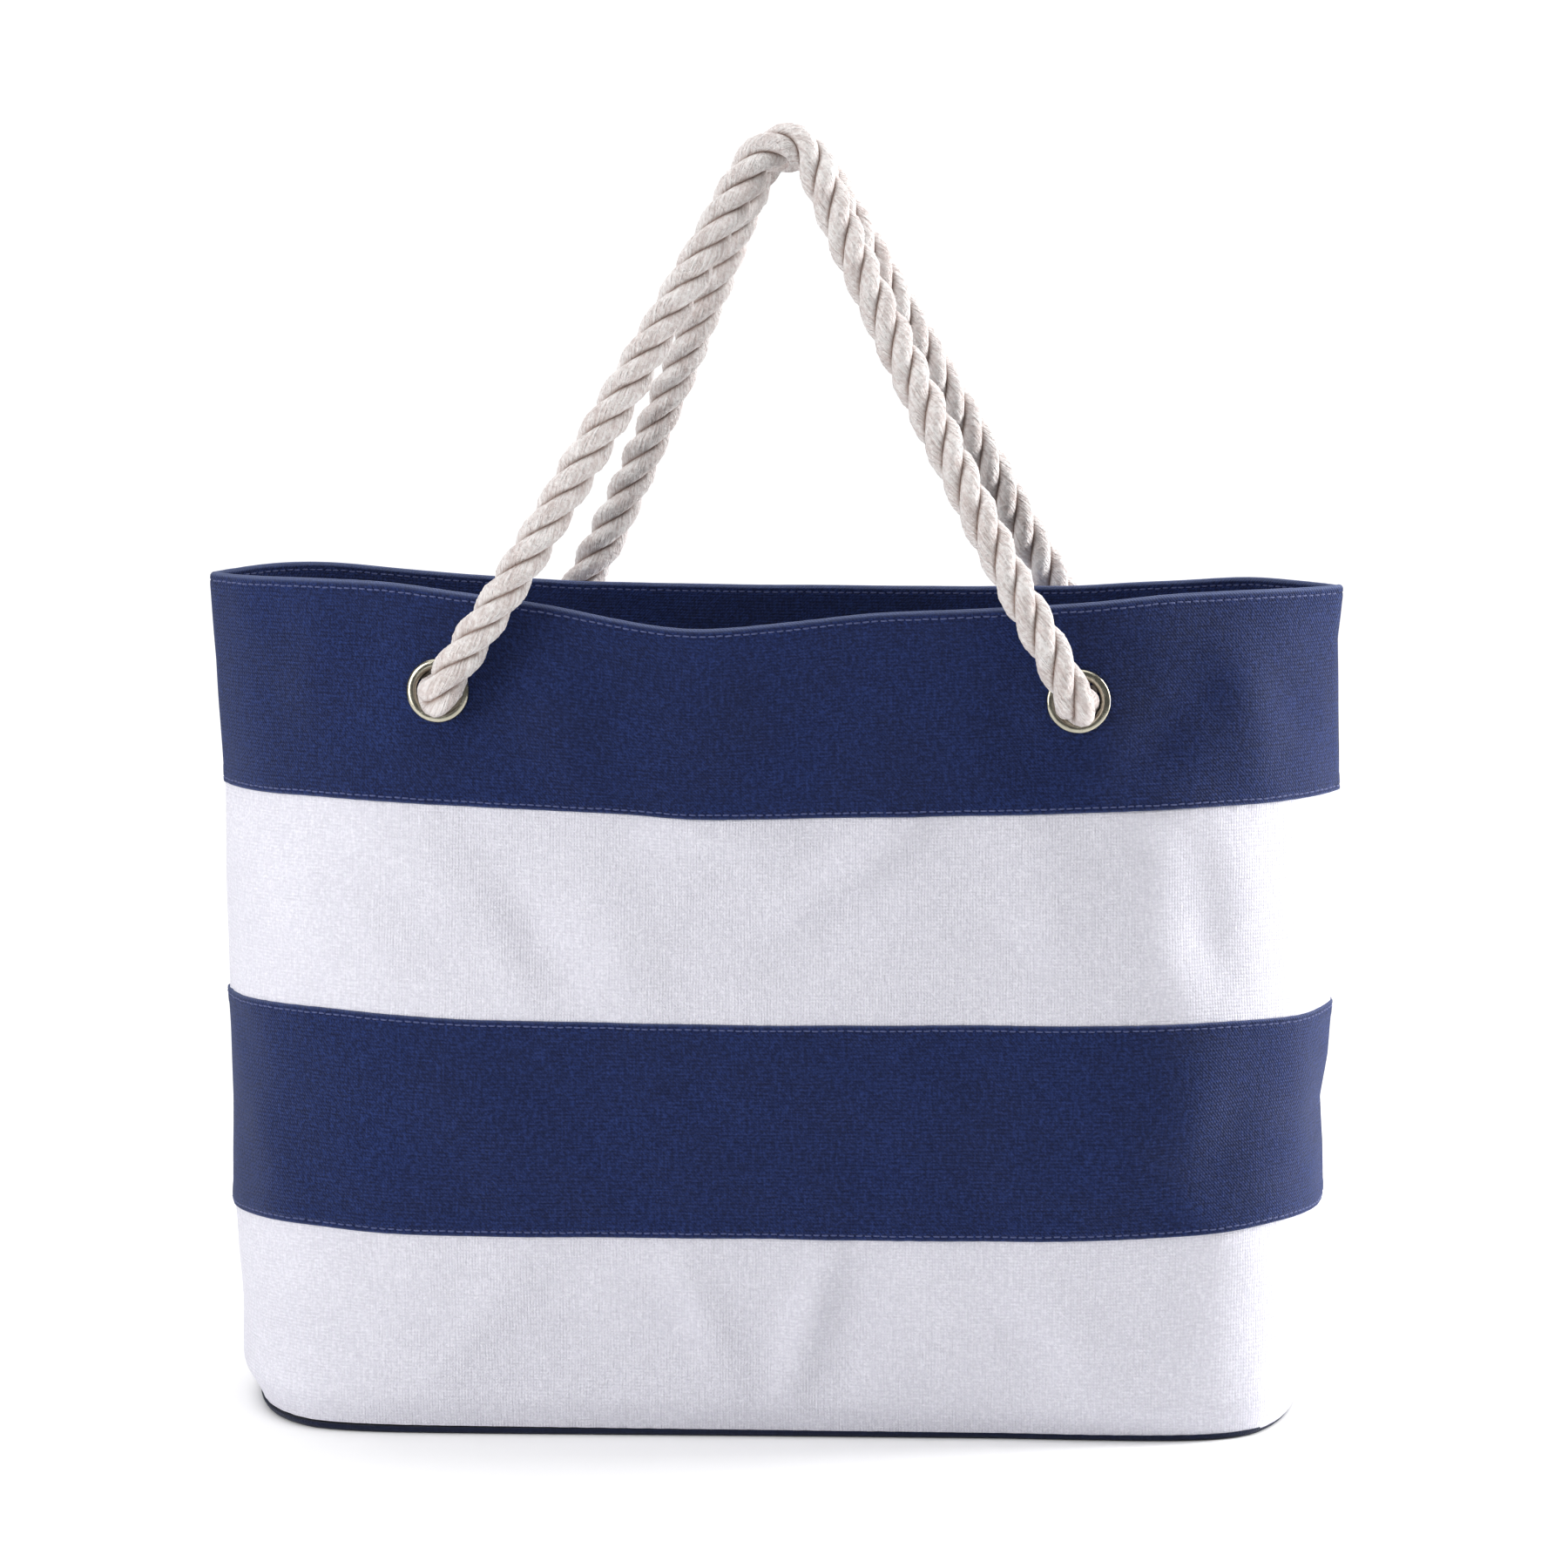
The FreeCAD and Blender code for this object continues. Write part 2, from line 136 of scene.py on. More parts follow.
# Soft folds: (across, height) of both ends, half width of the fold, share of FOLD_HEIGHT it stands out.
FOLDS = {
    "front": [
        ((62, 268), (14, 236), 9, 1.5), ((48, 236), (10, 214), 12, -1.0),
        ((-132, 270), (-88, 202), 13, -1.3), ((-70, 232), (-52, 196), 17, 1.2),
        ((-120, 238), (-104, 200), 9, 0.7), ((-46, 268), (10, 266), 8, 1.2),
        ((28, 80), (10, 22), 9, 1.4), ((44, 82), (32, 26), 12, -0.7),
        ((-36, 78), (-12, 26), 9, 1.1), ((-110, 74), (-140, 30), 12, 0.9),
        ((120, 70), (150, 24), 13, 0.9), ((184, 262), (196, 200), 12, -1.2),
        ((-96, 332), (-84, 300), 18, 1.8), ((100, 350), (112, 296), 15, -1.0),
        ((185, 322), (160, 288), 14, -1.6), ((205, 340), (214, 292), 12, 1.2),
        ((-196, 350), (-206, 300), 14, 0.8), ((-30, 345), (-20, 290), 24, 1.2),
        ((210, 168), (196, 110), 14, -1.4), ((-150, 168), (-90, 112), 22, 0.8),
        ((70, 170), (40, 112), 24, 0.7), ((-208, 250), (-196, 204), 14, 0.8),
        ((120, 262), (134, 210), 15, 0.8),
    ],
    "back": [
        ((-60, 262), (-20, 210), 12, 1.2), ((40, 268), (74, 214), 13, -1.1),
        ((-150, 250), (-120, 204), 13, 0.9), ((20, 80), (-8, 26), 9, 1.5),
        ((110, 78), (130, 28), 12, -1.0), ((-120, 74), (-100, 26), 11, 1.0),
        ((0, 345), (14, 290), 24, -1.2), ((70, 345), (60, 296), 16, 1.4),
        ((-190, 350), (-196, 300), 14, 1.0), ((-10, 168), (20, 112), 22, 0.9),
        ((170, 168), (190, 112), 18, -1.0), ((180, 262), (190, 204), 14, 1.0),
    ],
}

# How far the cloth stands out, in all: long swells, short ripples, the folds above, and puckers along seams.
SWELL_HEIGHT = 2.0
RIPPLE_HEIGHT = 0.5
FOLD_HEIGHT = 2.4
PUCKER_HEIGHT = 0.22
# Near the ends the waves fade to this share over this length, and they stop around an eyelet.
END_SHARE = 0.35
END_LENGTH = 40
EYELET_CALM = 24
# The side seam is drawn in this far, over this half width.
SIDE_SEAM_DEPTH = 1.1
SIDE_SEAM_HALF_WIDTH = 2.2


def eased(points, at):
    """Value at places along a list of (place, value), level where it meets each of them."""
    at = np.asarray(at, float)
    found = np.full(at.shape, float(points[-1][1]))
    for (x0, y0), (x1, y1) in reversed(list(zip(points, points[1:]))):
        share = np.clip((at - x0) / (x1 - x0), 0, 1)
        found = np.where(at <= x1, y0 + (y1 - y0) * share * share * (3 - 2 * share), found)
    return found


def smooth_line(points, at):
    """Value at places along a list of (place, value), without kinks."""
    places = np.linspace(points[0][0], points[-1][0], 161)
    plain = np.interp(places, *zip(*points))
    kernel = np.hanning(17)
    padded = np.pad(plain, 8, mode="edge")
    return np.interp(at, places, np.convolve(padded, kernel / kernel.sum(), mode="valid"))


def wall_depth(across, level, offset=0.0):
    """Distance of the wall from the middle plane: a rounded box low down, a lens at the rim."""
    share = np.clip(level / HEIGHT, 0, 1)
    width = eased(HALF_WIDTH, level) - offset
    depth = eased(HALF_DEPTH, level) - offset
    inside = np.clip(1 - (np.abs(across) / width) ** (12 - 8 * share), 0, 1)
    return depth * inside ** (0.5 + 0.5 * share)


def section(level, offset, columns):
    """Points of half a cross-section, evenly spaced along it, and how far along each is."""
    turn = np.sin(np.pi / 2 * np.linspace(-1, 1, 1201))
    across = (float(eased(HALF_WIDTH, level)) - offset) * np.sin(np.pi / 2 * turn)
    depth = wall_depth(across, level, offset)
    depth[0] = depth[-1] = 0
    along = np.concatenate([[0], np.cumsum(np.hypot(np.diff(across), np.diff(depth)))])
    places = np.linspace(0, along[-1], columns)
    return np.interp(places, along, across), np.interp(places, along, depth), places - along[-1] / 2


def random_waves(count, shortest, longest, lean):
    """Directions, phases and sizes of waves that add up to an irregular surface."""
    lengths = rng.uniform(shortest, longest, count)
    angles = rng.normal(0, lean, count)
    return [
        (2 * np.pi * np.cos(a) / n, 2 * np.pi * np.sin(a) / n, rng.uniform(0, 6.28), n / longest)
        for a, n in zip(angles, lengths)
    ]


def add_waves(waves, s, z):
    """Sum of the waves at places s, z, about 1 high."""
    total = sum(size * np.sin(kx * s + kz * z + phase) for kx, kz, phase, size in waves)
    return total / math.sqrt(len(waves))


SWELLS = {side: random_waves(16, 70, 210, 0.7) for side in SIGN}
RIPPLES = {side: random_waves(20, 22, 60, 0.9) for side in SIGN}
PUCKERS = {side: random_waves(12, 7, 12, 0.25) for side in SIGN}


def bulge(side, s, x, level, half_length):
    """How far the cloth stands out from its plain form."""
    out = SWELL_HEIGHT * add_waves(SWELLS[side], s, level)
    out += RIPPLE_HEIGHT * add_waves(RIPPLES[side], s, level)
    for (x0, z0), (x1, z1), width, lift in FOLDS[side]:
        dx, dz = x1 - x0, z1 - z0
        share = np.clip(((x - x0) * dx + (level - z0) * dz) / (dx * dx + dz * dz), 0, 1)
        away = np.hypot(x - x0 - share * dx, level - z0 - share * dz)
        out += FOLD_HEIGHT * lift * np.exp(-((away / width) ** 2)) * (0.55 + 0.45 * np.sin(np.pi * share))
    from_end = half_length - np.abs(s)
    out *= END_SHARE + (1 - END_SHARE) * np.clip(from_end / END_LENGTH, 0, 1)
    out *= np.clip(level / 22, 0.12, 1)
    pucker = sum(np.exp(-np.abs(level - seam) / 5) for seam in (SEAM_LOW, SEAM_MIDDLE, SEAM_HIGH))
    pucker = pucker + 0.7 * np.exp(-np.abs(level - HEIGHT) / 5) + 0.6 * np.exp(-np.abs(level - BASE_EDGE) / 6)
    out += PUCKER_HEIGHT * pucker * add_waves(PUCKERS[side], s, level)
    for name, (place, wall) in EYELETS.items():
        if wall == side:
            near = np.hypot(x - place, level - GROMMET_HEIGHT)
            out *= 1 - np.exp(-((near / EYELET_CALM) ** 4))
    out -= SIDE_SEAM_DEPTH * np.exp(-((from_end / SIDE_SEAM_HALF_WIDTH) ** 2))
    return out


def end_shift(x, level):
    """How far places are moved along X so that the ends of the bag stand out unevenly."""
    left = -np.interp(level, *zip(*LEFT_END))
    right = np.interp(level, *zip(*RIGHT_END))
    return np.where(x < 0, left, right) * np.clip(np.abs(x) / HALF_RIM, 0, 1) ** 3


def settle(side, x, depth, s, level, half_length):
    """Real place of the cloth for places on its plain form; all arrays have the same shape."""
    sign = SIGN[side]
    normal = np.stack([np.gradient(depth, axis=1), -np.gradient(x, axis=1)], axis=-1)
    normal /= np.linalg.norm(normal, axis=-1, keepdims=True) + 1e-12
    out = bulge(side, s, x, level, half_length)
    heights = [np.zeros_like(x), np.interp(x, *zip(*BASE_LINE))]
    heights += [smooth_line(line, x) for line in SEAMS[side]] + [smooth_line(RIM[side], x)]
    marks = [0, BASE_EDGE, SEAM_LOW, SEAM_MIDDLE, SEAM_HIGH, HEIGHT]
    z = level.copy()
    for low, high, z0, z1 in zip(marks, marks[1:], heights, heights[1:]):
        share = (level - low) / (high - low)
        z = np.where((level > low) & (level <= high), z0 + (z1 - z0) * share, z)
    new_x = x - normal[..., 0] * out + end_shift(x, level)
    new_y = depth - normal[..., 1] * out
    if side == "front":
        new_y = new_y + np.interp(x, *zip(*FOOT)) * np.exp(-((level / FOOT_HEIGHT) ** 2))
    # front and back stay just apart where they meet at the side seam
    new_y = sign * np.maximum(new_y, 0.12)
    return np.stack([new_x, new_y, z], axis=-1)


def sheet_points(side, rows, columns):
    """Grid of real places for rows of (level, offset), with how far along and how high each is."""
    flat = [section(min(level, HEIGHT), offset, columns) for level, offset in rows]
    x, depth, s = (np.array([row[i] for row in flat]) for i in range(3))
    level = np.repeat(np.array([row[0] for row in rows], float)[:, None], columns, axis=1)
    half_length = (s[:, -1:] - s[:, :1]) / 2
    return settle(side, x, depth, s, level, half_length), s, level


# -------------------------------------------------------------------- meshes


def new_mesh(name, points, faces, uvs=None, smooth_angle=math.radians(50)):
    """A mesh object from points in millimetres."""
    mesh = bpy.data.meshes.new(name)
    mesh.from_pydata((np.asarray(points, float) * MM).tolist(), [], [list(map(int, f)) for f in faces])
    if uvs is not None:
        layer = mesh.uv_layers.new(name="UVMap")
        loops = np.zeros(len(mesh.loops), np.int32)
        mesh.loops.foreach_get("vertex_index", loops)
        layer.data.foreach_set("uv", np.asarray(uvs, np.float32)[loops].ravel())
    mesh.polygons.foreach_set("use_smooth", [True] * len(mesh.polygons))
    mesh.validate()
    mesh.set_sharp_from_angle(angle=smooth_angle)
    mesh.update()
    obj = bpy.data.objects.new(name, mesh)
    bpy.context.scene.collection.objects.link(obj)
    return obj


# Play between cloth and eyelet tube, and the ring of points that is moved out to the edge of a hole.
HOLE_PLAY = 0.5
HOLE_BAND = 2.2


def holes_of(side, grid):
    """Moves grid points near an eyelet onto the edge of its hole; returns what lies inside it."""
    gone = np.zeros(grid.shape[:2], bool)
    radius = GROMMET_TUBE + HOLE_PLAY
    for name, (place, wall) in EYELETS.items():
        if wall != side:
            continue
        centre = GROMMET_HEIGHT + EYELET_LIFT[name]
        dx, dz = grid[..., 0] - place, grid[..., 2] - centre
        away = np.hypot(dx, dz)
        inner = away < radius - HOLE_BAND
        gone |= inner
        edge = (away < radius) & ~inner
        scale = np.where(edge, radius / np.maximum(away, 1e-6), 1)
        grid[..., 0] = np.where(edge, place + dx * scale, grid[..., 0])
        grid[..., 2] = np.where(edge, centre + dz * scale, grid[..., 2])
    return gone


def closed_cloth(name, side, outer_rows, inner_rows, columns, drilled=False):
    """Cloth with thickness, from its outer and inner rows of (level, offset)."""
    outer, s, level = sheet_points(side, outer_rows, columns)
    inner, _, _ = sheet_points(side, inner_rows, columns)
    gone = np.zeros(outer.shape[:2], bool)
    if drilled:
        gone = holes_of(side, outer)
        holes_of(side, inner)
    rows = len(outer_rows)
    index = np.arange(rows * columns).reshape(rows, columns)
    quads = np.stack([index[:-1, :-1], index[:-1, 1:], index[1:, 1:], index[1:, :-1]], -1).reshape(-1, 4)
    quads = quads[~gone.ravel()[quads].any(axis=1)]
    if side == "back":
        quads = quads[:, ::-1]
    count = rows * columns
    pairs = np.concatenate([np.stack([quads[:, i], quads[:, (i + 1) % 4]], -1) for i in range(4)])
    border = pairs[~np.isin(pairs[:, 0] * count + pairs[:, 1], pairs[:, 1] * count + pairs[:, 0])]
    sides = np.stack([border[:, 1], border[:, 0], border[:, 0] + count, border[:, 1] + count], -1)
    faces = np.concatenate([quads, quads[:, ::-1] + count, sides])
    path = np.concatenate([[0], np.cumsum(np.hypot(*np.diff(np.array(outer_rows, float), axis=0).T))])
    v = outer_rows[0][0] + np.repeat(path[:, None], columns, axis=1)
    uv = np.stack([s, v], -1).reshape(-1, 2) * MM
    points = np.concatenate([outer.reshape(-1, 3), inner.reshape(-1, 3)])
    used = np.unique(faces)
    renumber = np.full(len(points), -1)
    renumber[used] = np.arange(len(used))
    obj = new_mesh(name, points[used], renumber[faces], np.concatenate([uv, uv])[used])
    # painted highlight: paler where the cloth is folded over, as if each fold caught the light
    fold_highlight = np.clip((level - HEIGHT + 1.9) / 1.4, 0, 1) * 0.55
    for edge in (SEAM_LOW, SEAM_MIDDLE, SEAM_HIGH):
        fold_highlight = np.maximum(fold_highlight, 0.3 * np.exp(-((level - edge) / 0.7) ** 2))
    fold = obj.data.attributes.new("fold", "FLOAT", "POINT")
    fold.data.foreach_set("value", np.concatenate([fold_highlight.ravel(), fold_highlight.ravel()])[used].astype(np.float32))
    return obj


def finish_piece(obj, body, slot, material, *nodes):
    """Material, slot, body and the CAD nodes that a piece stands for; slot is not used."""
    obj.data.materials.clear()
    obj.data.materials.append(material)
    if body:
        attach(obj, body)
    if nodes:
        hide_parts(*nodes)
    return obj


# ----------------------------------------------------------------- materials


class Shader:
    """A node material built by name."""

    def __init__(self, name, **plain):
        self.material = bpy.data.materials.new(name)
        self.material.use_nodes = True
        self.tree = self.material.node_tree
        self.surface = self.tree.nodes["Principled BSDF"]
        for socket, value in plain.items():
            self.surface.inputs[socket.replace("_", " ")].default_value = value

    def node(self, kind, inputs=None, **settings):
        made = self.tree.nodes.new(kind)
        for key, value in settings.items():
            setattr(made, key, value)
        for key, value in (inputs or {}).items():
            if isinstance(value, bpy.types.NodeSocket):
                self.tree.links.new(value, made.inputs[key])
            else:
                made.inputs[key].default_value = value
        return made

    def math(self, operation, a, b=0.0):
        return self.node("ShaderNodeMath", {0: a, 1: b}, operation=operation).outputs[0]

    def added(self, *terms):
        """Sum of (value, weight) pairs."""
        total = None
        for value, weight in terms:
            part = self.math("MULTIPLY", value, weight)
            total = part if total is None else self.math("ADD", total, part)
        return total

    def painted(self, attribute):
        """A number carried by the mesh under this name."""
        made = self.node("ShaderNodeAttribute", attribute_name=attribute, attribute_type="GEOMETRY")
        return made.outputs["Fac"]

    def place(self):
        return self.node("ShaderNodeTexCoord").outputs["Object"]

    def uv(self):
        return self.node("ShaderNodeUVMap", uv_map="UVMap").outputs[0]

    def scaled(self, vector, x, y, z=1.0):
        return self.node("ShaderNodeMapping", {"Vector": vector, "Scale": (x, y, z)}).outputs[0]

    def noise(self, vector, scale, detail=2.0, rough=0.5):
        inputs = {"Vector": vector, "Scale": scale, "Detail": detail, "Roughness": rough}
        return self.node("ShaderNodeTexNoise", inputs).outputs["Fac"]

    def mixed(self, share, first, second):
        made = self.node("ShaderNodeMix", data_type="RGBA")
        self.tree.links.new(share, made.inputs[0])
        for i, value in ((6, first), (7, second)):
            if isinstance(value, bpy.types.NodeSocket):
                self.tree.links.new(value, made.inputs[i])
            else:
                made.inputs[i].default_value = (*value, 1)
        return made.outputs[2]

    def ramp(self, share, low, high, to_low=0.0, to_high=1.0):
        made = self.node("ShaderNodeMapRange", {0: share, 1: low, 2: high, 3: to_low, 4: to_high})
        made.interpolation_type = "SMOOTHSTEP"
        return made.outputs[0]

    def link(self, output, socket):
        self.tree.links.new(output, self.surface.inputs[socket])

    def bump(self, height, distance):
        self.link(self.node("ShaderNodeBump", {"Height": height, "Distance": distance}).outputs[0], "Normal")


def canvas_material(name, dark, light, pitch, relief, sheen, tint=(1, 1, 1), twill=0.0, fold_highlight_tint=None):
    """Woven cotton: yarns over and under at the real pitch in metres, with slubs and a soft mottle."""
    rough = 0.82
    shader = Shader(name, Roughness=rough, Sheen_Weight=sheen, Sheen_Roughness=0.45)
    shader.surface.inputs["Sheen Tint"].default_value = (*tint, 1)
    shader.surface.inputs["Specular IOR Level"].default_value = 0.25
    uv = shader.uv()
    # the yarns drift a little, by a noise added to the place
    wobble = shader.node("ShaderNodeTexNoise", {"Vector": uv, "Scale": 90.0, "Detail": 2.0}).outputs["Color"]
    drift = shader.node("ShaderNodeVectorMath", {0: wobble, "Scale": 0.0011}, operation="SCALE")
    moved = shader.node("ShaderNodeVectorMath", {0: uv, 1: drift.outputs[0]}, operation="ADD")
    split = shader.node("ShaderNodeSeparateXYZ", {0: moved.outputs[0]})
    slant = shader.math("ADD", split.outputs[0], shader.math("MULTIPLY", split.outputs[1], twill))
    across = shader.math("SINE", shader.math("MULTIPLY", slant, math.pi / pitch))
    upward = shader.math("SINE", shader.math("MULTIPLY", split.outputs[1], math.pi / (pitch * 1.15)))
    weave = shader.math("ABSOLUTE", shader.math("MULTIPLY", across, upward))
    slub_u = shader.noise(shader.scaled(uv, 150, 1500), 1.0, 2.0)
    slub_v = shader.noise(shader.scaled(uv, 1400, 130), 1.0, 2.0)
    slubs = shader.math("ADD", slub_u, slub_v)
    mottle = shader.noise(uv, 26.0, 4.0, 0.6)
    grain = shader.noise(uv, 900.0, 2.0)
    speck = shader.noise(shader.scaled(uv, 620, 820), 1.0, 3.0, 0.65)
    hatch = shader.noise(shader.scaled(uv, 520, 190), 1.0, 2.0, 0.6)
    share = shader.ramp(shader.added((slubs, 0.2), (speck, 0.6), (hatch, 0.18), (mottle, 0.1)), 0.55, 0.8)
    colour = shader.mixed(shader.added((share, 0.8), (weave, 0.3)), dark, light)
    # painted highlight: a paler colour mixed in along folded edges
    if fold_highlight_tint:
        colour = shader.mixed(shader.painted("fold"), colour, fold_highlight_tint)
    shader.link(colour, "Base Color")
    shader.bump(shader.added((weave, 0.6), (slubs, 0.4), (speck, 0.9), (grain, 0.2)), relief)
    shader.link(shader.ramp(mottle, 0.2, 0.8, rough - 0.05, rough + 0.06), "Roughness")
    return shader.material


navy = canvas_material(
    "navy_canvas", (0.0008, 0.0045, 0.036), (0.0162, 0.036, 0.157), pitch=0.0014, relief=0.0006, sheen=0.18,
    tint=(0.55, 0.62, 0.9), twill=0.8, fold_highlight_tint=(0.15, 0.185, 0.32),
)
white = canvas_material(
    "white_canvas", (0.655, 0.645, 0.725), (0.85, 0.84, 0.915), pitch=0.0013, relief=0.00045, sheen=0.08,
)
lining_cloth = canvas_material(
    "lining_cloth", (0.52, 0.50, 0.46), (0.66, 0.64, 0.59), pitch=0.0006, relief=0.0001, sheen=0.1,
)
base_canvas = canvas_material(
    "base_canvas", (0.004, 0.007, 0.026), (0.008, 0.014, 0.045), pitch=0.00085, relief=0.0002, sheen=0.12,
)


def thread_material(name, dark, light):
    """Twisted thread with fine fibres along it."""
    shader = Shader(name, Roughness=0.7, Sheen_Weight=0.2)
    fibre = shader.noise(shader.place(), 2600.0, 2.0)
    shader.link(shader.mixed(fibre, dark, light), "Base Color")
    shader.bump(fibre, 0.0001)
    return shader.material


navy_thread = thread_material("navy_thread", (0.03, 0.045, 0.15), (0.085, 0.11, 0.28))
whipping_thread = thread_material("whipping_thread", (0.58, 0.54, 0.47), (0.72, 0.68, 0.6))


def rope_material():
    """Cotton yarns that run almost along the rope, with painted shade in the grooves and near the ends."""
    shader = Shader("cotton_rope", Roughness=0.88, Sheen_Weight=0.25, Sheen_Roughness=0.5)
    shader.surface.inputs["Specular IOR Level"].default_value = 0.2
    uv = shader.uv()
    yarns = shader.noise(shader.scaled(uv, 950, 75), 1.0, 2.0, 0.6)
    fine = shader.noise(shader.scaled(uv, 3400, 300), 1.0, 3.0)
    patch = shader.noise(uv, 55.0, 3.0)
    tufts = shader.noise(uv, 520.0, 3.0, 0.65)
    shade = shader.ramp(shader.added((yarns, 0.4), (patch, 0.25), (tufts, 0.35)), 0.38, 0.6)
    fibres = shader.mixed(shade, (0.70, 0.60, 0.575), (1.0, 0.96, 0.945))
    # painted shade: darker brown in the grooves between strands and towards the rope ends
    shader.link(shader.mixed(shader.painted("groove"), fibres, (0.34, 0.225, 0.18)), "Base Color")
    shader.bump(shader.added((yarns, 1.0), (fine, 0.3), (tufts, 1.1)), 0.0016)
    return shader.material


def metal_material():
    """Pale plated metal with fine turning marks and wear."""
    shader = Shader("grommet_metal", Metallic=1.0, Roughness=0.2)
    wear = shader.noise(shader.place(), 300.0, 3.0)
    shader.link(shader.mixed(wear, (0.33, 0.31, 0.245), (0.50, 0.475, 0.39)), "Base Color")
    shader.link(shader.ramp(wear, 0.3, 0.75, 0.15, 0.3), "Roughness")
    shader.bump(shader.noise(shader.place(), 1800.0, 2.0), 0.00003)
    return shader.material


def board_material():
    """Greyish-brown stiffener sheet with a fine fleck."""
    shader = Shader("stiffener_board", Roughness=0.75)
    fleck = shader.noise(shader.place(), 700.0, 3.0)
    shader.link(shader.mixed(fleck, (0.42, 0.37, 0.3), (0.6, 0.55, 0.47)), "Base Color")
    shader.bump(fleck, 0.0002)
    return shader.material


cotton = rope_material()
metal = metal_material()
board = board_material()

# --------------------------------------------------------------- cloth pieces

# Points along half a cross-section, in the outer cloth and in the lining.
COLUMNS = 231
LINING_COLUMNS = 121
# How far the navy bands stand out from the white ones.
PROUD = 0.75
# Distance from a turned-under edge and how far the cloth stands proud there, with a groove for the stitches.
HEM_STITCH = 2.3
HEM_END = 8
HEM = [
    (0, 0.0), (0.12, 0.5), (0.45, 0.85), (1.1, 0.98), (1.8, 0.92), (HEM_STITCH, 0.62), (2.8, 0.92), (4, 0.95),
    (6.5, 0.92), (HEM_END, PROUD),
]
# Topstitches: distance below the rim, and above the lower edge of the facing.
RIM_STITCH = 3.5
FACING_STITCH = 2.5


def even(low, high, step=2.4):
    """Evenly spaced levels between two, without the first and last."""
    count = max(2, round((high - low) / step))
    return [low + (high - low) * i / count for i in range(1, count)]


def white_rows(low, high):
    """Rows of a white band, flat from edge to edge."""
    levels = [low] + even(low, high) + [high]
    return [(z, 0.0) for z in levels], [(z, CANVAS) for z in levels]


def hemmed(low, high):
    """Rows of a navy band whose two edges are turned under and stitched down on the white."""
    outer = [(low + d, -p) for d, p in HEM]
    outer += [(z, -PROUD) for z in even(low + HEM_END, high - HEM_END)]
    outer += [(high - d, -p) for d, p in reversed(HEM)]
    return outer, [(z, CANVAS) for z, _ in outer]


def turned_over():
    """Rows of the top band: up the outside, over the rim and down the inside as its facing."""
    outer = [(SEAM_HIGH + d, -p) for d, p in HEM]
    outer += [(z, -PROUD) for z in even(SEAM_HIGH + HEM_END, HEIGHT - HEM_END)]
    # distance below the rim and how far proud, with a groove at the topstitch
    for below, proud in ((HEM_END, PROUD), (6, 0.8), (4.2, 0.72), (RIM_STITCH, 0.4), (2.9, 0.66)):
        outer.append((HEIGHT - below, -proud))
    inner = [(z, CANVAS - 0.2) for z, _ in outer]
    facing_in = INNER_SKIN + FACING_THICK
    middle, radius = (facing_in - 0.6) / 2, (facing_in + 0.6) / 2
    top = HEIGHT - radius
    for i in range(9):
        angle = math.pi * i / 8
        outer.append((top + radius * math.sin(angle), middle - radius * math.cos(angle)))
        inner.append((top + 0.5 * math.sin(angle), middle - 0.5 * math.cos(angle)))
    # height and depth of the groove on the way down the inside
    down = [(HEIGHT - 2.9, 0.0), (HEIGHT - RIM_STITCH, 0.3), (HEIGHT - 4.2, 0.0)]
    down += [(z, 0.0) for z in reversed(even(FACING_LOW + 5, HEIGHT - 5))]
    for above, dent in ((3.2, 0.0), (FACING_STITCH, 0.3), (1.8, 0.0), (0.5, 0.1), (0, 0.9)):
        down.append((FACING_LOW + above, dent))
    outer += [(z, facing_in - dent) for z, dent in down]
    inner += [(z, INNER_SKIN - 0.05) for z, _ in down]
    return outer, inner


for side in SIGN:
    white_bands = {"lower_white_band": (BASE_EDGE, SEAM_LOW), "upper_white_band": (SEAM_MIDDLE, SEAM_HIGH)}
    for name, (low, high) in white_bands.items():
        piece = closed_cloth(f"{name}_{side}_cloth", side, *white_rows(low, high), COLUMNS)
        finish_piece(piece, "bag", "white_canvas", white, f"{name}_{side}")
    piece = closed_cloth(f"lower_navy_band_{side}_cloth", side, *hemmed(SEAM_LOW, SEAM_MIDDLE), COLUMNS)
    finish_piece(piece, "bag", "navy_canvas", navy, f"lower_navy_band_{side}")
    piece = closed_cloth(f"top_band_and_facing_{side}_cloth", side, *turned_over(), COLUMNS, drilled=True)
    finish_piece(piece, "bag", "navy_canvas", navy, f"upper_navy_band_{side}", f"facing_{side}")
    levels = [FLOOR_TOP] + even(FLOOR_TOP, FACING_LOW, 6) + [FACING_LOW]
    inside = INNER_SKIN + LINING_THICK
    rows = [(z, inside) for z in levels], [(z, INNER_SKIN) for z in levels]
    piece = closed_cloth(f"lining_{side}_cloth", side, *rows, LINING_COLUMNS)
    finish_piece(piece, "bag", "lining_cloth", lining_cloth, f"lining_{side}")


def pan(name, profile, columns=140):
    """A flat-bottomed piece with the outline of the bag: rows of (inset, height, share of size)."""
    rings = []
    for inset, height, share in profile:
        x, depth, _ = section(max(height, 0), inset, columns)
        x = x + end_shift(x, height)
        foot = np.interp(x, *zip(*FOOT)) if share == 1 else 0
        front = np.stack([x, -depth - foot, np.full(columns, float(height))], -1)
        back = np.stack([x, depth, np.full(columns, float(height))], -1)[::-1]
        ring = np.concatenate([front, back[1:-1]])
        ring[:, :2] *= share
        rings.append(ring)
    count = len(rings[0])
    points = np.concatenate(rings)
    index = np.arange(len(points)).reshape(len(rings), count)
    after = np.roll(index, -1, axis=1)
    faces = np.stack([index[:-1], after[:-1], after[1:], index[1:]], -1).reshape(-1, 4).tolist()
    faces.append(index[0][::-1].tolist())
    faces.append(index[-1].tolist())
    return new_mesh(name, points, faces, points[:, :2] * MM)


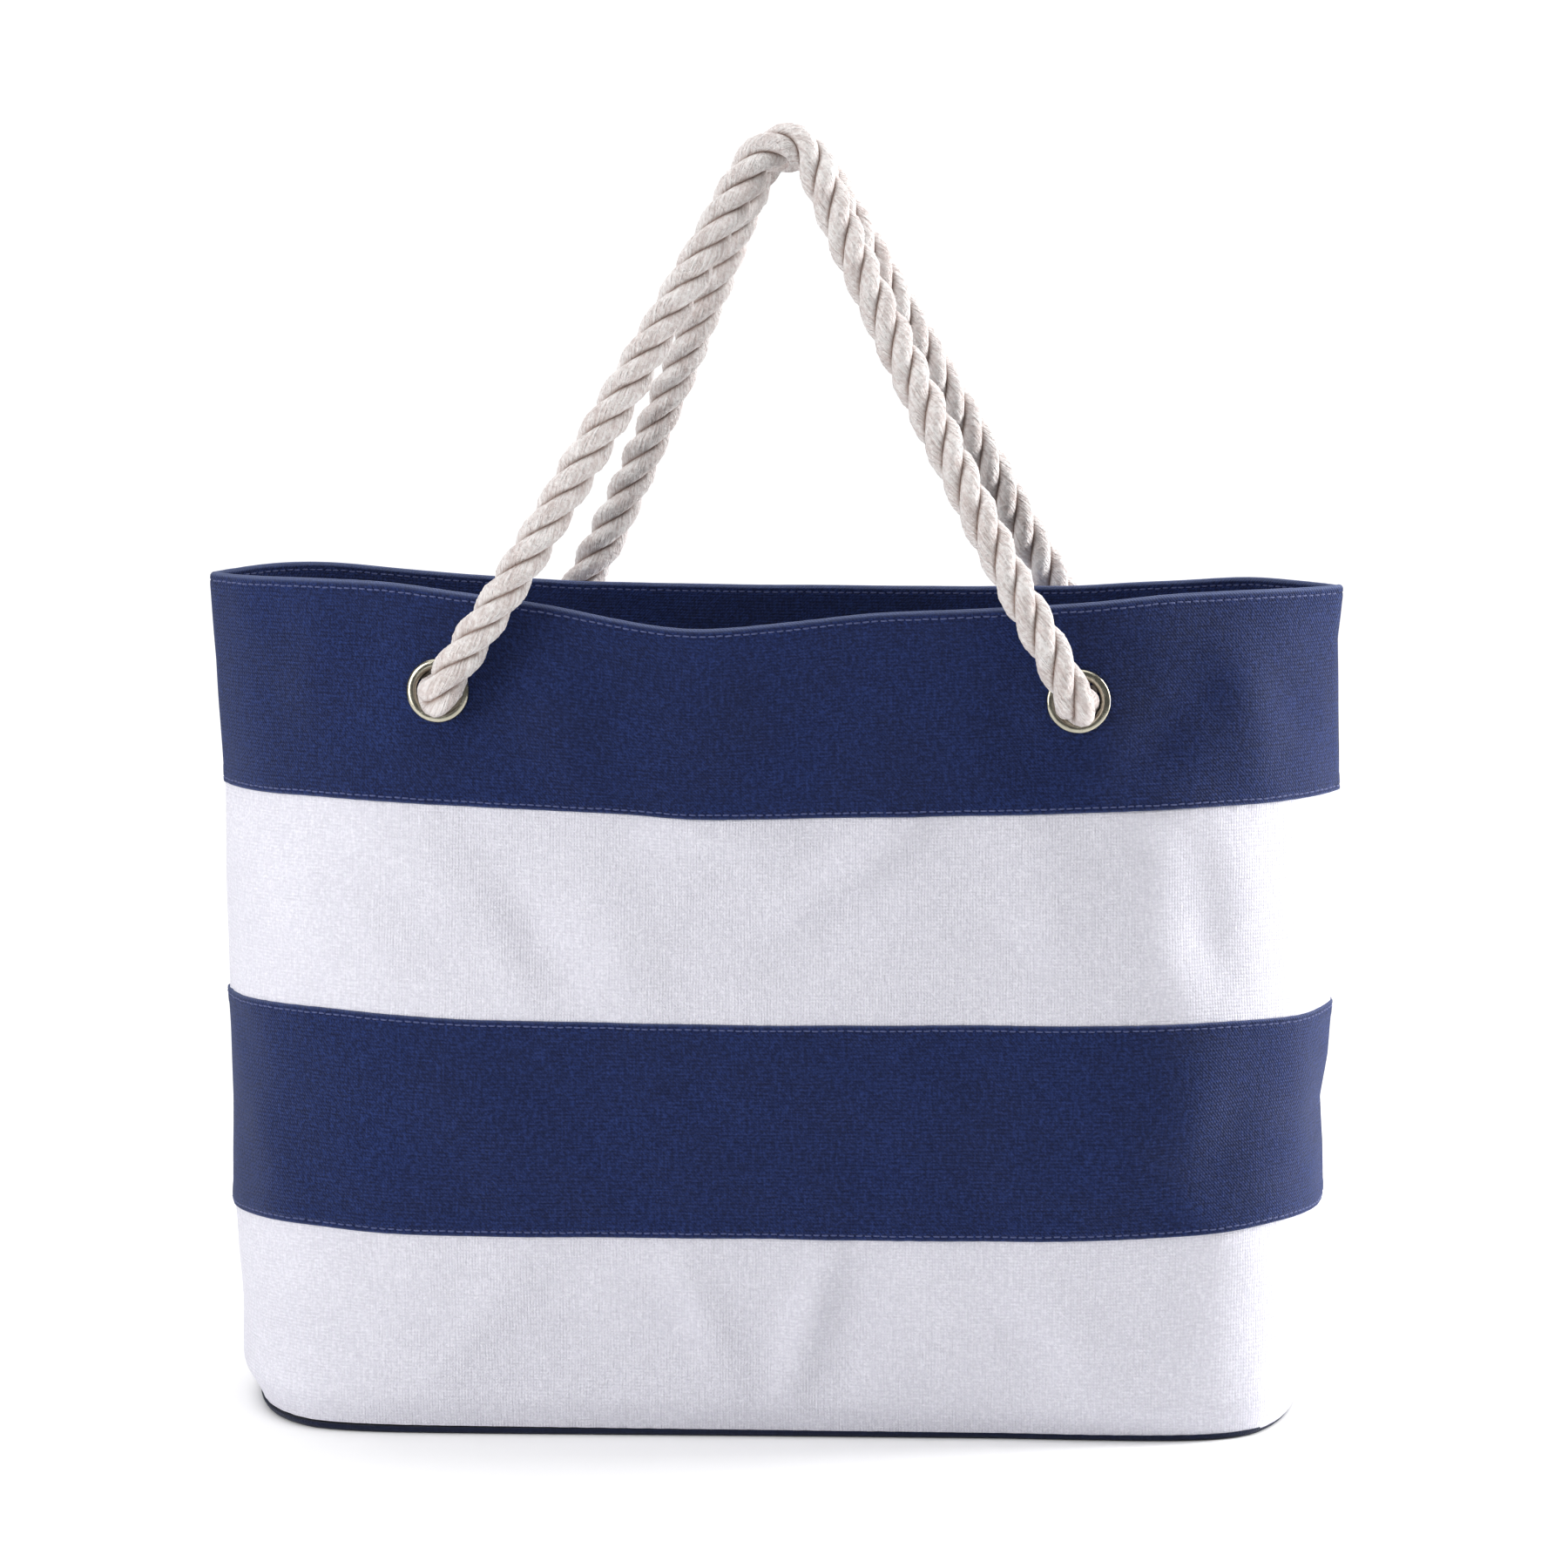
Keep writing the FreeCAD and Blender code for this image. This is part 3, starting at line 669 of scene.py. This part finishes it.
# Rings that close a flat bottom towards its middle, as shares of its size.
SHRINK = (0.98, 0.9, 0.75, 0.5, 0.25, 0.08)
BOTTOM_INSET = 6
BOTTOM_TOP = 1.6
profile = [(BOTTOM_INSET, 0.0, share) for share in reversed(SHRINK)]
profile += [(BOTTOM_INSET, 0, 1), (1.6, 0, 1), (0.6, 0.25, 1), (0, 0.9, 1), (-0.45, 1.8, 1), (-0.45, 2.9, 1)]
profile += [(0.1, 3.1, 1), (1.6, 3.1, 1), (2.4, 1.8, 1), (BOTTOM_INSET, BOTTOM_TOP, 1)]
profile += [(BOTTOM_INSET, BOTTOM_TOP, share) for share in SHRINK]
finish_piece(pan("base_panel_cloth", profile), "bag", "base_canvas", base_canvas, "base_panel")

FLOOR_INSET = 8
profile = [(FLOOR_INSET, FLOOR_LOW, share) for share in reversed(SHRINK)]
profile += [(FLOOR_INSET, FLOOR_LOW, 1), (3.4, FLOOR_LOW, 1), (3.3, FLOOR_TOP - 0.2, 1), (3.6, FLOOR_TOP, 1)]
profile += [(FLOOR_INSET, FLOOR_TOP + 0.15, 1)]
profile += [(FLOOR_INSET, FLOOR_TOP, share) for share in SHRINK]
finish_piece(pan("lining_floor_cloth", profile), "bag", "lining_cloth", lining_cloth, "lining_floor")
finish_piece(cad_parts["base_board"], None, "stiffener_board", board)

# -------------------------------------------------------------------- stitches


CAPSULE_SIDES = 6
# Stations along a stitch: place as a share of its length, width and lift as shares of its radius.
CAPSULE_STATIONS = [
    (-0.5, 0.15, -0.9), (-0.46, 0.75, -0.45), (-0.3, 1.0, 0.0), (0, 1.05, 0.12), (0.3, 1.0, 0.0),
    (0.46, 0.75, -0.45), (0.5, 0.15, -0.9),
]


def capsule(length, radius):
    """Points and faces of a short thread along X, dipping into the cloth at both ends."""
    points, faces = [], []
    for along, wide, up in CAPSULE_STATIONS:
        for k in range(CAPSULE_SIDES):
            a = 2 * math.pi * k / CAPSULE_SIDES
            sideways, lift = math.cos(a) * radius * wide, math.sin(a) * radius * wide + up * radius
            points.append((along * length, sideways, lift))
    for i in range(len(CAPSULE_STATIONS) - 1):
        for k in range(CAPSULE_SIDES):
            a, b = i * CAPSULE_SIDES + k, i * CAPSULE_SIDES + (k + 1) % CAPSULE_SIDES
            faces.append((a, b, b + CAPSULE_SIDES, a + CAPSULE_SIDES))
    faces.append(tuple(range(CAPSULE_SIDES - 1, -1, -1)))
    faces.append(tuple(range(len(points) - CAPSULE_SIDES, len(points))))
    return np.array(points), faces


def stitch_line(name, side, level, offset, inward=False, spacing=3.7, length=2.9, radius=0.34):
    """A row of machine stitches lying in its groove along one level."""
    rows = [(level - 1.0, offset), (level, offset), (level + 1.0, offset)]
    grid, s, _ = sheet_points(side, rows, 1401)
    line, up = grid[1], grid[2] - grid[0]
    along = s[1] - s[1][0]
    template, faces = capsule(length, radius)
    points, all_faces = [], []
    for place in np.arange(5, along[-1] - 5, spacing):
        jitter = rng.uniform(-0.15, 0.15, 2)
        i = int(np.searchsorted(along, place + jitter[0]))
        i = min(max(i, 3), len(line) - 4)
        middle = line[i]
        t = line[i + 3] - line[i - 3]
        t /= np.linalg.norm(t)
        u = up[i] - t * np.dot(up[i], t)
        u /= np.linalg.norm(u)
        out = np.cross(t, u) * -SIGN[side]
        out = -out if inward else out
        t = t + u * rng.uniform(-0.05, 0.05)
        place_of = middle + out * 0.05 + u * jitter[1]
        points.append(place_of + template[:, :1] * t + template[:, 1:2] * u + template[:, 2:] * out)
        all_faces += [tuple(v + len(template) * (len(points) - 1) for v in f) for f in faces]
    obj = new_mesh(name, np.concatenate(points), all_faces)
    return finish_piece(obj, "bag", "navy_canvas", navy_thread)


STITCH_OFFSET = -0.8
facing_skin = INNER_SKIN + FACING_THICK - 0.2
for side in SIGN:
    stitch_line(f"rim_topstitch_{side}", side, HEIGHT - RIM_STITCH, -0.62)
    stitch_line(f"rim_topstitch_inside_{side}", side, HEIGHT - RIM_STITCH, facing_skin, inward=True)
    stitch_line(f"facing_topstitch_{side}", side, FACING_LOW + FACING_STITCH, facing_skin, inward=True)
    stitch_line(f"top_band_stitch_{side}", side, SEAM_HIGH + HEM_STITCH, STITCH_OFFSET)
    stitch_line(f"navy_band_upper_stitch_{side}", side, SEAM_MIDDLE - HEM_STITCH, STITCH_OFFSET)
    stitch_line(f"navy_band_lower_stitch_{side}", side, SEAM_LOW + HEM_STITCH, STITCH_OFFSET)

# ------------------------------------------------------------------- grommets


def wall_normal(across, level, sign):
    """Outward direction of the plain wall."""

    def depth(x, z):
        return float(wall_depth(np.array(float(x)), np.array(float(z))))

    slope_x = (depth(across + 1, level) - depth(across - 1, level)) / 2
    slope_z = (depth(across, level + 1) - depth(across, level - 1)) / 2
    normal = np.array([-slope_x, sign, -slope_z])
    return normal / np.linalg.norm(normal)


def lathe(name, profile, origin, axis, segments=72):
    """A ring turned about an axis from a closed profile of (radius, height)."""
    axis = axis / np.linalg.norm(axis)
    side_way = np.cross(axis, [0, 0, 1])
    side_way /= np.linalg.norm(side_way)
    other = np.cross(axis, side_way)
    angle = 2 * np.pi * np.arange(segments) / segments
    round_way = np.cos(angle)[:, None] * side_way + np.sin(angle)[:, None] * other
    points = np.concatenate([origin + r * round_way + h * axis for r, h in profile])
    index = np.arange(len(points)).reshape(len(profile), segments)
    a, b = index, np.roll(index, -1, axis=1)
    c, d = np.roll(b, -1, axis=0), np.roll(a, -1, axis=0)
    return new_mesh(name, points, np.stack([a, b, c, d], -1).reshape(-1, 4), smooth_angle=math.radians(35))


def eyelet_frame(name):
    """Middle of an eyelet on the outside of the wall, and its outward direction."""
    across, side = EYELETS[name]
    sign = SIGN[side]
    depth = float(wall_depth(np.array(float(across)), np.array(float(GROMMET_HEIGHT))))
    middle = np.array([across, sign * depth, GROMMET_HEIGHT + EYELET_LIFT[name]], float)
    return middle, wall_normal(across, GROMMET_HEIGHT, sign)


def dome(inner, outer, low, high, count=14):
    """Profile points over the top of a rolled ring, from the outside in."""
    middle, half = (inner + outer) / 2, (outer - inner) / 2
    angles = [math.pi * i / count for i in range(count + 1)]
    return [(middle + half * math.cos(a), low + high * math.sin(a) ** 0.8) for a in angles]


for name in EYELETS:
    origin, axis = eyelet_frame(name)
    ring = dome(GROMMET_BORE, GROMMET_FLANGE, 1.0, 1.75)
    ring += [(GROMMET_BORE, -STACK + 0.3), (GROMMET_BORE + 0.2, -STACK), (GROMMET_TUBE, -STACK)]
    ring += [(GROMMET_TUBE, 0.9), (GROMMET_FLANGE - 0.3, 0.78), (GROMMET_FLANGE, 0.85)]
    piece = lathe(f"grommet_{name}_ring", ring[::-1], origin, axis)
    finish_piece(piece, "bag", "grommet_metal", metal, f"grommet_{name}")
    seat = origin - axis * (STACK - 0.4)
    ring = dome(GROMMET_TUBE + 0.15, GROMMET_FLANGE, 0.25, 1.9)
    ring += [(GROMMET_TUBE + 0.15, 0.12), (GROMMET_FLANGE - 0.2, 0.05), (GROMMET_FLANGE, 0.15)]
    piece = lathe(f"grommet_washer_{name}_ring", ring[::-1], seat, -axis)
    finish_piece(piece, "bag", "grommet_metal", metal, f"grommet_washer_{name}")

# ----------------------------------------------------------------------- rope

# A rope's radius, the length of one full turn of its strands, and the height of its tufts.
ROPE = 9.0
LAY = 51.0
ROPE_TUFTS = 0.16
# Distance of each strand from the middle of the rope, and its radius.
STRAND_AWAY = 4.15
STRAND = 4.85
# Spacing of points along a rope, length of its rounded end, and how far the painted shade reaches from the
# end.
ROPE_STEP = 1.9
ROPE_CAP = 3.0
END_SHADE_LENGTH = 25
# Centreline of each handle in metres, from the left pivot over the top to the right pivot.
FRONT_ROUTE = [
    (-0.142, -0.0785, 0.324),
    (-0.130, -0.079, 0.346),
    (-0.106, -0.075, 0.381),
    (-0.067, -0.058, 0.448),
    (-0.032, -0.035, 0.509),
    (-0.015, -0.020, 0.540),
    (-0.004, -0.0105, 0.560),
    (0.015, -0.0105, 0.562),
    (0.025, -0.018, 0.538),
    (0.041, -0.030, 0.504),
    (0.075, -0.053, 0.438),
    (0.106, -0.075, 0.379),
    (0.125, -0.079, 0.346),
    (0.135, -0.0785, 0.324),
]
BACK_ROUTE = [
    (-0.106, 0.0815, 0.324),
    (-0.097, 0.082, 0.345),
    (-0.078, 0.078, 0.380),
    (-0.050, 0.060, 0.444),
    (-0.025, 0.038, 0.506),
    (-0.013, 0.022, 0.536),
    (-0.004, 0.0105, 0.555),
    (0.016, 0.0105, 0.556),
    (0.027, 0.018, 0.535),
    (0.045, 0.031, 0.502),
    (0.080, 0.054, 0.438),
    (0.110, 0.076, 0.380),
    (0.130, 0.082, 0.345),
    (0.139, 0.0815, 0.324),
]


def spline_points(route, spacing):
    """Evenly spaced points along the smooth curve that a route steers; route in metres, points in mm."""
    curve = bpy.data.curves.new("route", "CURVE")
    curve.dimensions = "3D"
    spline = curve.splines.new("NURBS")
    spline.points.add(len(route) - 1)
    for point, place in zip(spline.points, route):
        point.co = (*place, 1)
    spline.order_u = 3
    spline.use_endpoint_u = True
    spline.resolution_u = 24
    guide = bpy.data.objects.new("route", curve)
    bpy.context.scene.collection.objects.link(guide)
    bpy.context.view_layer.update()
    mesh = bpy.data.meshes.new_from_object(guide.evaluated_get(bpy.context.evaluated_depsgraph_get()))
    line = np.array([v.co for v in mesh.vertices], float) / MM
    bpy.data.objects.remove(guide)
    bpy.data.meshes.remove(mesh)
    return even_line(line, spacing)


def distance_along(line):
    """How far along a line each of its points is."""
    return np.concatenate([[0], np.cumsum(np.linalg.norm(np.diff(line, axis=0), axis=1))])


def even_line(line, spacing):
    """The same line with evenly spaced points."""
    along = distance_along(line)
    places = np.linspace(0, along[-1], max(3, round(along[-1] / spacing) + 1))
    return np.stack([np.interp(places, along, line[:, i]) for i in range(3)], -1)


def carried_frames(line):
    """Two sideways directions that turn as little as possible along a line."""
    tangent = np.gradient(line, axis=0)
    tangent /= np.linalg.norm(tangent, axis=1, keepdims=True)
    first = np.cross(tangent[0], [0.3, 0.2, 1.0])
    sideways = [first / np.linalg.norm(first)]
    for t in tangent[1:]:
        kept = sideways[-1] - t * np.dot(sideways[-1], t)
        sideways.append(kept / np.linalg.norm(kept))
    sideways = np.array(sideways)
    return sideways, np.cross(tangent, sideways)


def rope_mesh(name, line, scale=1.0, phase=0.0, per_strand=14):
    """Three strands laid right-handed round a line in millimetres, as one closed mesh."""
    one, two = carried_frames(line)
    along = distance_along(line)
    share = np.linspace(-1, 1, per_strand, endpoint=False)
    share = np.sign(share) * np.abs(share) ** 0.8
    local = np.concatenate([k * 2 * math.pi / 3 + share * math.pi / 3 for k in range(3)])
    off = np.concatenate([share * math.pi / 3] * 3)
    reach = np.maximum(STRAND**2 - (STRAND_AWAY * np.sin(off)) ** 2, 0.01)
    away = STRAND_AWAY * np.cos(off) + np.sqrt(reach)
    depth = np.clip((np.abs(off) / (math.pi / 3) - 0.72) / 0.28, 0, 1) ** 1.6
    turn = 2 * np.pi * along / LAY + phase + 0.22 * np.sin(along / 61 + phase)
    swell = 1 + 0.018 * np.sin(along / 23 + 2 * phase) + 0.012 * np.sin(along / 7.3 + phase)
    ends = np.minimum(along, along[-1] - along)
    cap = np.sqrt(np.clip(1 - np.clip(1 - ends / ROPE_CAP, 0, 1) ** 2, 0.02, 1))
    angle = local[None, :] + turn[:, None]
    radius = away[None, :] * (scale * swell * cap)[:, None]
    tufts = np.random.default_rng(int(1000 * phase) + len(along)).normal(0, ROPE_TUFTS, radius.shape)
    radius = radius + tufts * cap[:, None]
    outward = np.cos(angle)[..., None] * one[:, None] + np.sin(angle)[..., None] * two[:, None]
    points = line[:, None, :] + radius[..., None] * outward
    count = len(local)
    index = np.arange(len(line) * count).reshape(len(line), count)
    after = np.roll(index, -1, axis=1)
    faces = np.stack([index[:-1], after[:-1], after[1:], index[1:]], -1).reshape(-1, 4).tolist()
    faces += [index[0][::-1].tolist(), index[-1].tolist()]
    around = (angle + 0.12 * turn[:, None]) * ROPE
    uv = np.stack([around, np.repeat(along[:, None], count, axis=1)], -1).reshape(-1, 2) * MM
    obj = new_mesh(name, points.reshape(-1, 3), faces, uv, smooth_angle=math.radians(75))
    # the last face round goes on from the one before it
    layer = obj.data.uv_layers["UVMap"]
    flat = np.zeros(len(obj.data.loops) * 2, np.float32)
    layer.data.foreach_get("uv", flat)
    first = 4 * (np.arange(len(line) - 1) * count + count - 1)
    for k in (1, 2):
        flat[2 * (first + k)] += 2 * math.pi * ROPE * MM
    layer.data.foreach_set("uv", flat)
    # painted shade in the grooves between the strands
    groove = obj.data.attributes.new("groove", "FLOAT", "POINT")
    # painted shade towards each end of the rope, around the eyelets
    end_shade = 0.6 * np.exp(-((ends / END_SHADE_LENGTH) ** 2))[:, None]
    groove.data.foreach_set("value", np.clip(depth + end_shade, 0, 1).ravel().astype(np.float32))
    return obj


def knot_start(name):
    """Where a rope comes out of its knot, and where it passes the wall, in millimetres."""
    across, side = EYELETS[name]
    origin, _ = eyelet_frame(name)
    sign = SIGN[side]
    wall = abs(origin[1])
    level = origin[2]
    return np.array([across, sign * (wall - 16), level]), np.array([across, sign * (wall - 2), level - 0.4])


def handle(name, body, route, left, right, phase, axis_sign):
    """One handle: from the left knot out through its eyelet, over the top and back in at the right."""
    points = [np.array(p) / MM for p in route]
    corner = {}
    for eyelet, end in ((left, 0), (right, -1)):
        inside, hole = knot_start(eyelet)
        bend = points[end] + np.array([0, axis_sign * 1.5, EYELET_LIFT[eyelet] - 1.5])
        corner[eyelet] = [inside, hole, bend]
    full = corner[left] + points[1:-1] + corner[right][::-1]
    line = spline_points([tuple(p * MM) for p in full], ROPE_STEP)
    rope = rope_mesh(f"{body}_cotton_rope", line, phase=phase)
    finish_piece(rope, None, "cotton_rope", cotton, name)
    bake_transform(rope)


handle("front_handle_rope", "front_handle", FRONT_ROUTE, "front_left", "front_right", 0.4, -1)
handle("back_handle_rope", "back_handle", BACK_ROUTE, "back_left", "back_right", 2.1, 1)

# ---------------------------------------------------------------------- knots

TAIL = 40.0
# Distance of the middle of a knot from the inner side of the wall.
KNOT_INSET = 17.0
WHIPPING_TURNS = 8
WHIPPING_PITCH = 1.15
whippings = []


def knot(name, phase):
    """Overhand stopper knot just inside its washer, with a tail that hangs down."""
    across, side = EYELETS[name]
    sign = SIGN[side]
    origin, _ = eyelet_frame(name)
    wall = abs(origin[1])
    middle = np.array([across, sign * (wall - STACK - KNOT_INSET), origin[2]])
    t = np.linspace(0.55, 4 * math.pi - 0.75, 90)
    away = 10.5 + 5.2 * np.cos(1.5 * t)
    loop = np.stack([away * np.cos(t + phase), -sign * 5.6 * np.sin(1.5 * t), away * np.sin(t + phase)], -1)
    loop += middle
    entry = np.array([[across, sign * (wall - 6), origin[2]], [across, sign * (wall - 12), origin[2] + 1]])
    lean = rng.uniform(-3, 3)
    tail = np.array([middle + (lean * 0.5, -sign * 2, -26), middle + (lean, -sign * 1, -TAIL - 8)])
    route = np.concatenate([entry, loop[::5], tail])
    line = spline_points([tuple(p * MM) for p in route], ROPE_STEP)
    obj = rope_mesh(f"rope_knot_{name}_tied", line, scale=0.93, phase=phase)
    finish_piece(obj, "bag", "cotton_rope", cotton, f"rope_knot_{name}")
    # whipping near the tail's end
    end = line[-4]
    way = line[-4] - line[-9]
    way /= np.linalg.norm(way)
    length = WHIPPING_TURNS * WHIPPING_PITCH
    profile = [(8.0, 0.0)]
    for i in range(WHIPPING_TURNS):
        for a in (0.15, 0.5, 0.85):
            profile.append((8.55 + 0.55 * math.sin(math.pi * a), (i + a) * WHIPPING_PITCH))
    profile.append((8.0, length))
    whippings.append(lathe(f"whipping_{name}", profile[::-1], end - way * (length + 2), way, 48))


for name, phase in zip(EYELETS, (0.3, 1.9, 3.4, 5.0)):
    knot(name, phase)

bpy.ops.object.select_all(action="DESELECT")
for piece in whippings:
    piece.select_set(True)
bpy.context.view_layer.objects.active = whippings[0]
bpy.ops.object.join()
whippings[0].name = "rope_whippings_thread"
finish_piece(whippings[0], "bag", "whipping_thread", whipping_thread, "rope_whippings")

# ------------------------------------------------------ camera, light, backdrop


def plain_floor(size, place, colour):
    """A staged floor, not part of the object."""
    half = size / 2 / MM
    corners = [(-half, -half, 0), (half, -half, 0), (half, half, 0), (-half, half, 0)]
    plane = new_mesh("floor", corners, [(0, 1, 2, 3)])
    plane.location = place
    shader = Shader("floor", Roughness=0.9)
    shader.surface.inputs["Base Color"].default_value = (*colour, 1)
    plane.data.materials.append(shader.material)


plain_floor(2.4, (0, -0.4, 0), (0.95, 0.95, 0.95))


def area_light(name, place, aim, size, power):
    """A soft rectangular light at a place, turned to face its aim."""
    light = bpy.data.lights.new(name, "AREA")
    light.shape = "RECTANGLE"
    light.size, light.size_y = size
    light.energy = power
    obj = bpy.data.objects.new(name, light)
    obj.location = place
    obj.rotation_euler = (Vector(aim) - Vector(place)).to_track_quat("-Z", "Y").to_euler()
    bpy.context.scene.collection.objects.link(obj)


area_light("left_softbox", (-0.95, -0.78, 0.6), (-0.15, 0, 0.25), (0.55, 0.9), 8.5)
area_light("right_softbox", (1.1, 0.18, 0.42), (0.2, 0, 0.2), (0.3, 1.2), 20)
area_light("overhead_softbox", (0, 0.02, 2.2), (0, 0.021, 0), (2.8, 2.8), 46)

# A pale room: bright behind the bag, dimmer in front of it.
world = bpy.data.worlds.new("studio")
bpy.context.scene.world = world
world.use_nodes = True
tree = world.node_tree
direction = tree.nodes.new("ShaderNodeTexCoord").outputs["Generated"]
split = tree.nodes.new("ShaderNodeSeparateXYZ")
tree.links.new(direction, split.inputs[0])
brightness = tree.nodes.new("ShaderNodeMapRange")
brightness.interpolation_type = "SMOOTHSTEP"
tree.links.new(split.outputs[1], brightness.inputs[0])
# from and to along Y, then the brightness at each
for i, value in ((1, 0.1), (2, 0.75), (3, 0.17), (4, 1.1)):
    brightness.inputs[i].default_value = value
tree.links.new(brightness.outputs[0], tree.nodes["Background"].inputs[1])
tree.nodes["Background"].inputs[0].default_value = (1, 1, 1, 1)

TARGET = Vector((0.0046, 0.0, 0.277))
DISTANCE = 2.8
AZIMUTH = math.radians(3)
ELEVATION = math.radians(10)
lens = bpy.data.cameras.new("camera")
lens.lens = 145.0
lens.sensor_width = 36
lens.clip_end = 60
camera = bpy.data.objects.new("camera", lens)
level_part = math.cos(ELEVATION)
toward = Vector((math.sin(AZIMUTH) * level_part, -math.cos(AZIMUTH) * level_part, math.sin(ELEVATION)))
camera.location = TARGET + toward * DISTANCE
camera.rotation_euler = (-toward).to_track_quat("-Z", "Y").to_euler()
bpy.context.scene.collection.objects.link(camera)
bpy.context.scene.camera = camera
bpy.context.scene.view_settings.view_transform = "Standard"
